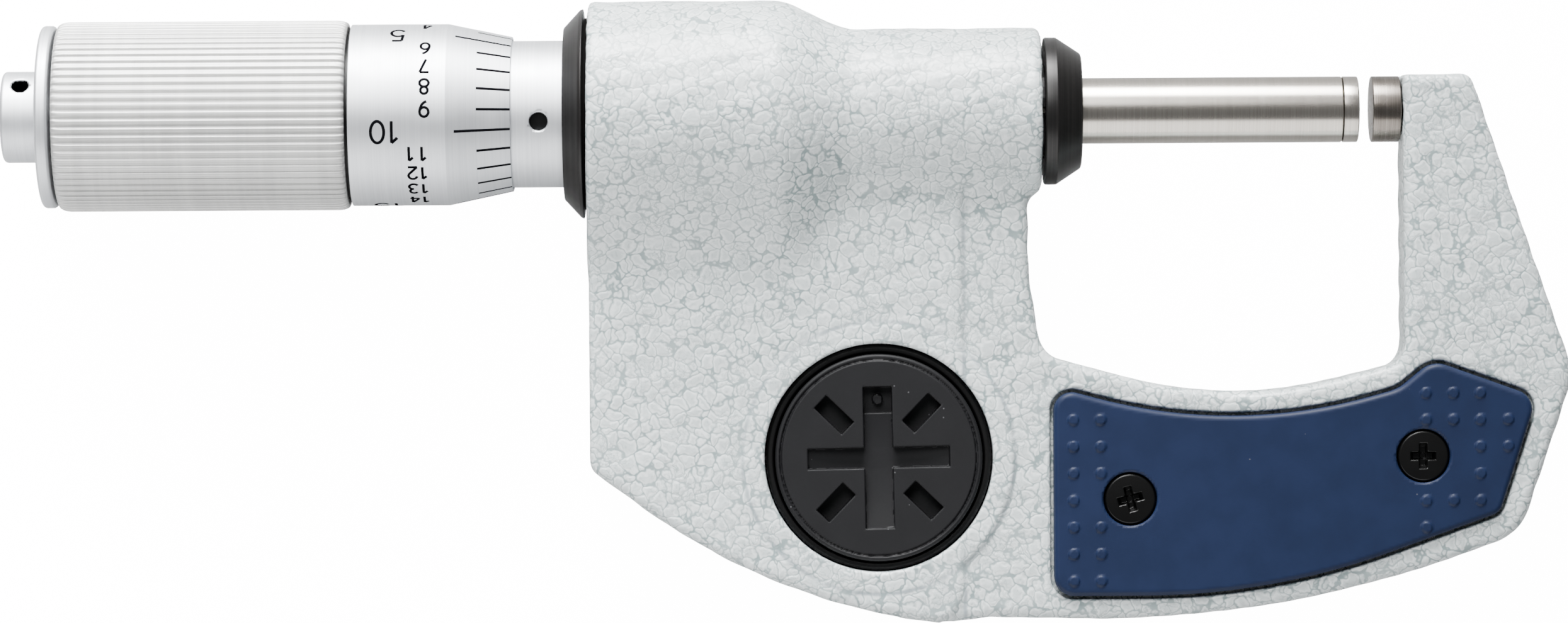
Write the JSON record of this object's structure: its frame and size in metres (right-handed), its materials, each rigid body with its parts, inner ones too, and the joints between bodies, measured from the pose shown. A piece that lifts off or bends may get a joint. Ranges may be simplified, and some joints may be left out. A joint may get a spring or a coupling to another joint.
{
  "type": "outside micrometer",
  "caption": "Digital outside micrometer: enamelled bow frame, spindle and anvil, ratchet thimble with a scale, lock ring, insulating grip plates and a battery cap in the back.",
  "frame": {"origin": "on the flat face of the display cover that the tool rests on, under the spindle axis, at the middle of the body", "axes": "+X along the spindle towards the anvil, +Y up from the bow to the barrel, +Z out of the back (battery side)"},
  "size_m": [0.1506, 0.0601, 0.0242],
  "materials": {
    "enamel": "glossy pale grey-green baked enamel with a fine vein pattern",
    "ground_steel": "ground",
    "carbide": "lapped, darker grey",
    "black_steel": "black oxide, semi-gloss",
    "satin_chrome": "satin",
    "brass": "machined",
    "navy_plastic": "satin, slightly rough",
    "black_plastic": "semi-gloss",
    "dark_plastic": "matt",
    "grey_plastic": "matt",
    "board": "solder mask",
    "lcd": "smooth",
    "clear_window": "clear",
    "rubber": "matt",
    "nickel": "plated"
  },
  "bodies": {
    "frame": {"frame": "enamel", "anvil": "ground_steel", "lock_collet": "brass", "sleeve_collar": "black_steel", "inner_sleeve": "ground_steel", "sleeve": "satin_chrome", "taper_nut": "brass", "stator": "board", "stator_holder": "black_plastic", "circuit_board": "board", "lcd_module": "lcd", "display_window": "clear_window", "bezel": "navy_plastic", "bezel_screw_1": "black_steel", "bezel_screw_2": "black_steel", "bezel_screw_3": "black_steel", "bezel_screw_4": "black_steel", "button_pad": "rubber", "battery_socket": "black_plastic", "battery_cell": "nickel", "battery_contact_minus": "nickel", "battery_contact_plus": "nickel", "rear_plate": "navy_plastic", "front_plate": "navy_plastic", "plate_screw_1": "black_steel", "plate_screw_2": "black_steel"},
    "encoder_rotor": {"rotor_bush": "brass", "rotor_disc": "board", "rotor_key": "ground_steel"},
    "spindle": {"spindle": "ground_steel", "spindle_tip": "carbide", "thimble": "satin_chrome", "ratchet_wheel": "ground_steel", "end_cap": "satin_chrome"},
    "grip": {"grip": "satin_chrome", "ratchet_ring": "ground_steel", "ratchet_spring": "nickel"},
    "lock_ring": {"lock_ring": "black_steel"},
    "battery_cap": {"battery_cap": "dark_plastic", "cap_seal": "rubber"},
    "button_1": {"button_1": "grey_plastic"},
    "button_2": {"button_2": "grey_plastic"},
    "button_3": {"button_3": "grey_plastic"}
  },
  "joints": [
    {"name": "thimble_turn", "type": "hinge", "parent": "frame", "child": "encoder_rotor", "pos_m": [-0.01228, 0, 0.0134], "axis": [1, 0, 0], "range_deg": [-13665, 744]},
    {"name": "spindle_feed", "type": "slide", "parent": "encoder_rotor", "child": "spindle", "axis": [1, 0, 0], "range_m": [-0.0241, 0.00131]},
    {"name": "ratchet_slip", "type": "hinge", "parent": "spindle", "child": "grip", "pos_m": [-0.05518, 0, 0.0134], "axis": [1, 0, 0], "continuous": true},
    {"name": "lock_turn", "type": "hinge", "parent": "frame", "child": "lock_ring", "pos_m": [0.02762, 0, 0.0134], "axis": [1, 0, 0], "range_deg": [0, 45]},
    {"name": "battery_cap_turn", "type": "hinge", "parent": "frame", "child": "battery_cap", "pos_m": [0.00982, -0.03327, 0.0164], "axis": [0, 0, 1], "range_deg": [0, 60]},
    {"name": "button_1_press", "type": "slide", "parent": "frame", "child": "button_1", "axis": [0, 0, 1], "range_m": [0, 0.0006], "stiffness_N_per_m": 400},
    {"name": "button_2_press", "type": "slide", "parent": "frame", "child": "button_2", "axis": [0, 0, 1], "range_m": [0, 0.0006], "stiffness_N_per_m": 400},
    {"name": "button_3_press", "type": "slide", "parent": "frame", "child": "button_3", "axis": [0, 0, 1], "range_m": [0, 0.0006], "stiffness_N_per_m": 400}
  ],
  "couplings": [
    {"joint": "thimble_turn", "follows": "spindle_feed", "rad_per_m": 9894.8}
  ]
}
